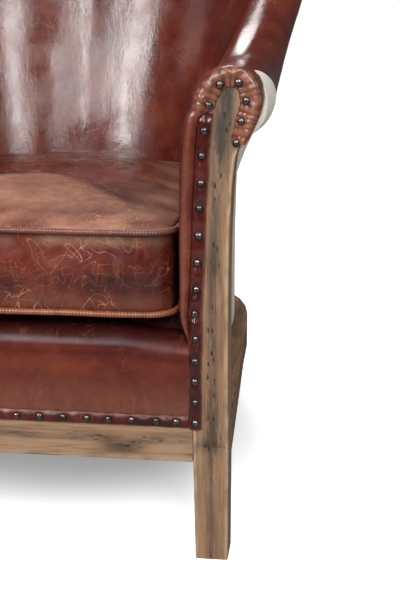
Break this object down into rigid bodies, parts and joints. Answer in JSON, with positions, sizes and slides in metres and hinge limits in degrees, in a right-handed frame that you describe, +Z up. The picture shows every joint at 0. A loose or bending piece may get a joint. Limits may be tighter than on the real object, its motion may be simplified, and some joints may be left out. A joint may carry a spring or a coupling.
{
  "type": "club chair",
  "caption": "worn leather tub armchair on an exposed weathered wood frame, with a loose seat cushion, rolled arms and back, nailed leather strips and cloth outside covers",
  "frame": {"origin": "centre of the chair's footprint on the floor", "axes": "+X to the sitter's left, -Y is the chair's front, +Z up"},
  "size_m": [0.7804, 0.8154, 0.9338],
  "materials": {
    "weathered_wood": "bare, weathered, with worm holes and grey streaks",
    "worn_leather": "waxed red-brown, scratched, creased and rubbed pale",
    "calico": "plain woven, unbleached",
    "hessian": "coarse jute weave",
    "stuffing": "felted hair and wadding",
    "dust_cloth": "thin black cloth",
    "nail_steel": "dark, browned, polished on the domes"
  },
  "bodies": {
    "root": {"arm_front_roll_left": "worn_leather", "arm_front_roll_right": "worn_leather", "arm_leather_left": "worn_leather", "arm_leather_right": "worn_leather", "arm_nail_strip_left": "worn_leather", "arm_nail_strip_right": "worn_leather", "arm_pad_left": "stuffing", "arm_pad_right": "stuffing", "arm_post_left": "weathered_wood", "arm_post_right": "weathered_wood", "arm_rail_left": "weathered_wood", "arm_rail_right": "weathered_wood", "arm_upright_left": "weathered_wood", "arm_upright_right": "weathered_wood", "back_leather": "worn_leather", "back_pad": "stuffing", "back_rail": "weathered_wood", "back_upright_left": "weathered_wood", "back_upright_right": "weathered_wood", "border_leather": "worn_leather", "corner_block_left": "weathered_wood", "corner_block_right": "weathered_wood", "crest_rail": "weathered_wood", "cushion_welt_bottom": "worn_leather", "cushion_welt_top": "worn_leather", "deck_cloth": "calico", "deck_stuffing": "stuffing", "dust_cover": "dust_cloth", "front_edge_roll": "stuffing", "front_leg_left": "weathered_wood", "front_leg_right": "weathered_wood", "front_nail_strip": "worn_leather", "front_rail": "weathered_wood", "outside_arm_cloth_left": "calico", "outside_arm_cloth_right": "calico", "outside_back_cloth": "calico", "rear_leg_left": "weathered_wood", "rear_leg_right": "weathered_wood", "seat_cushion": "worn_leather", "seat_spring_1": "nail_steel", "seat_spring_2": "nail_steel", "seat_spring_3": "nail_steel", "seat_spring_4": "nail_steel", "seat_spring_5": "nail_steel", "seat_spring_6": "nail_steel", "seat_spring_7": "nail_steel", "seat_spring_8": "nail_steel", "seat_spring_9": "nail_steel", "seat_webbing": "hessian", "side_rail_left": "weathered_wood", "side_rail_right": "weathered_wood", "spring_hessian": "hessian"}
  },
  "joints": []
}
